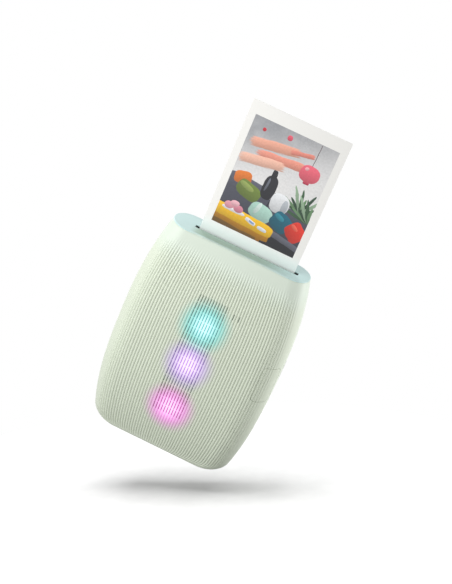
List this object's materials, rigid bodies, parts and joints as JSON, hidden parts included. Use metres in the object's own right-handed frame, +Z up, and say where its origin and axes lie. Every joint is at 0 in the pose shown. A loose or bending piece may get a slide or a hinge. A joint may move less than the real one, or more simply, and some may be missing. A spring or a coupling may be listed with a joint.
{
  "type": "compact photo printer",
  "caption": "Barrel shaped pocket photo printer with a ribbed front, lights behind the ribs, a slot on top with a print coming out, and a film door at the back.",
  "frame": {"origin": "middle of the foot, on the surface the printer stands on", "axes": "+X to the printer's right seen from the front, +Y to its back, +Z up along the print's path"},
  "size_m": [0.0906, 0.0374, 0.2009],
  "materials": {
    "sage_shell": "ribbed satin",
    "pale_shell": "satin",
    "mint_cap": "satin",
    "black_plastic": "fine texture",
    "grey_plastic": "moulded",
    "white_plastic": "moulded",
    "diffuser": "milky",
    "light_cyan": "clear lens",
    "light_violet": "clear lens",
    "light_pink": "clear lens",
    "circuit_board": "lacquered",
    "chip_black": "moulded",
    "sheet_steel": "brushed",
    "bright_steel": "ground",
    "motor_can": "drawn",
    "bush_brass": "turned",
    "roller_rubber": "matt",
    "screw_steel": "plated",
    "battery_wrap": "foil wrap",
    "wire_red": "insulated",
    "ribbon_film": "flexible film",
    "lens_glass": "clear",
    "film_paper": "semi gloss",
    "picture_image": "glossy"
  },
  "bodies": {
    "housing": {"battery": "battery_wrap", "battery_leads": "wire_red", "bearing_bushes": "bush_brass", "board_chips": "chip_black", "board_screws": "screw_steel", "button_switch": "black_plastic", "charging_port": "sheet_steel", "chassis": "grey_plastic", "chassis_screws": "screw_steel", "exposure_head": "black_plastic", "exposure_lens": "lens_glass", "film_guide": "black_plastic", "film_pack": "black_plastic", "film_stack": "film_paper", "front_cover": "sage_shell", "head_plug": "black_plastic", "head_ribbon": "ribbon_film", "hinge_pins": "bright_steel", "housing_screws": "screw_steel", "idler_post": "bright_steel", "led_board": "circuit_board", "led_lower": "light_pink", "led_middle": "light_violet", "led_plug": "black_plastic", "led_upper": "light_cyan", "left_roller_plate": "sheet_steel", "light_diffuser": "diffuser", "light_frame": "white_plastic", "light_screws": "screw_steel", "main_board": "circuit_board", "motor": "motor_can", "pack_spring": "sheet_steel", "port_board": "circuit_board", "radio_module": "sheet_steel", "rear_housing": "pale_shell", "right_roller_plate": "sheet_steel", "slot_liner": "black_plastic", "switch_board": "circuit_board", "top_cap": "mint_cap"},
    "print": {"photo_print": "film_paper", "print_picture": "picture_image"},
    "drive_roller": {"drive_shaft": "bright_steel", "drive_sleeve": "roller_rubber", "drive_gear": "white_plastic"},
    "pinch_roller": {"pinch_shaft": "bright_steel", "pinch_sleeve": "roller_rubber"},
    "idler": {"idler_gear": "white_plastic"},
    "motor_rotor": {"motor_shaft": "bright_steel", "motor_pinion": "white_plastic"},
    "claw": {"film_claw": "sheet_steel"},
    "door": {"film_door": "pale_shell", "catch_rest": "black_plastic", "pressing_pads": "black_plastic", "catch_spring": "sheet_steel"},
    "catch": {"door_catch": "pale_shell"},
    "button": {"side_button": "sage_shell"}
  },
  "joints": [
    {"name": "print_feed", "type": "slide", "parent": "housing", "child": "print", "axis": [0, 0, 1], "range_m": [-0.1, 0.002]},
    {"name": "drive_roller_turn", "type": "hinge", "parent": "housing", "child": "drive_roller", "pos_m": [0, -0.00422, 0.117], "axis": [1, 0, 0], "range_deg": [-1911, 40]},
    {"name": "pinch_roller_turn", "type": "hinge", "parent": "housing", "child": "pinch_roller", "pos_m": [0, 0.00222, 0.117], "axis": [1, 0, 0], "range_deg": [-40, 1911]},
    {"name": "idler_turn", "type": "hinge", "parent": "housing", "child": "idler", "pos_m": [0, -0.00526, 0.10856], "axis": [1, 0, 0], "range_deg": [-28, 1338]},
    {"name": "motor_turn", "type": "hinge", "parent": "housing", "child": "motor_rotor", "pos_m": [0, -0.00864, 0.10131], "axis": [1, 0, 0], "range_deg": [-2230, 46]},
    {"name": "claw_lift", "type": "slide", "parent": "housing", "child": "claw", "axis": [0, 0, 1], "range_m": [0, 0.005], "stiffness_N_per_m": 40},
    {"name": "door_hinge", "type": "hinge", "parent": "housing", "child": "door", "pos_m": [0.0028, 0.0117, 0.0096], "axis": [-1, 0, 0], "range_deg": [0, 90]},
    {"name": "catch_slide", "type": "slide", "parent": "door", "child": "catch", "axis": [0, 0, -1], "range_m": [0, 0.0025], "stiffness_N_per_m": 200, "deforming": ["catch_spring"]},
    {"name": "button_press", "type": "slide", "parent": "housing", "child": "button", "axis": [-0.7314, 0.682, 0], "range_m": [0, 0.0005], "stiffness_N_per_m": 800}
  ],
  "couplings": [
    {"joint": "drive_roller_turn", "follows": "print_feed", "rad_per_m": 333.33},
    {"joint": "pinch_roller_turn", "follows": "print_feed", "rad_per_m": -333.33},
    {"joint": "idler_turn", "follows": "print_feed", "rad_per_m": -233.33},
    {"joint": "motor_turn", "follows": "print_feed", "rad_per_m": 388.89}
  ]
}
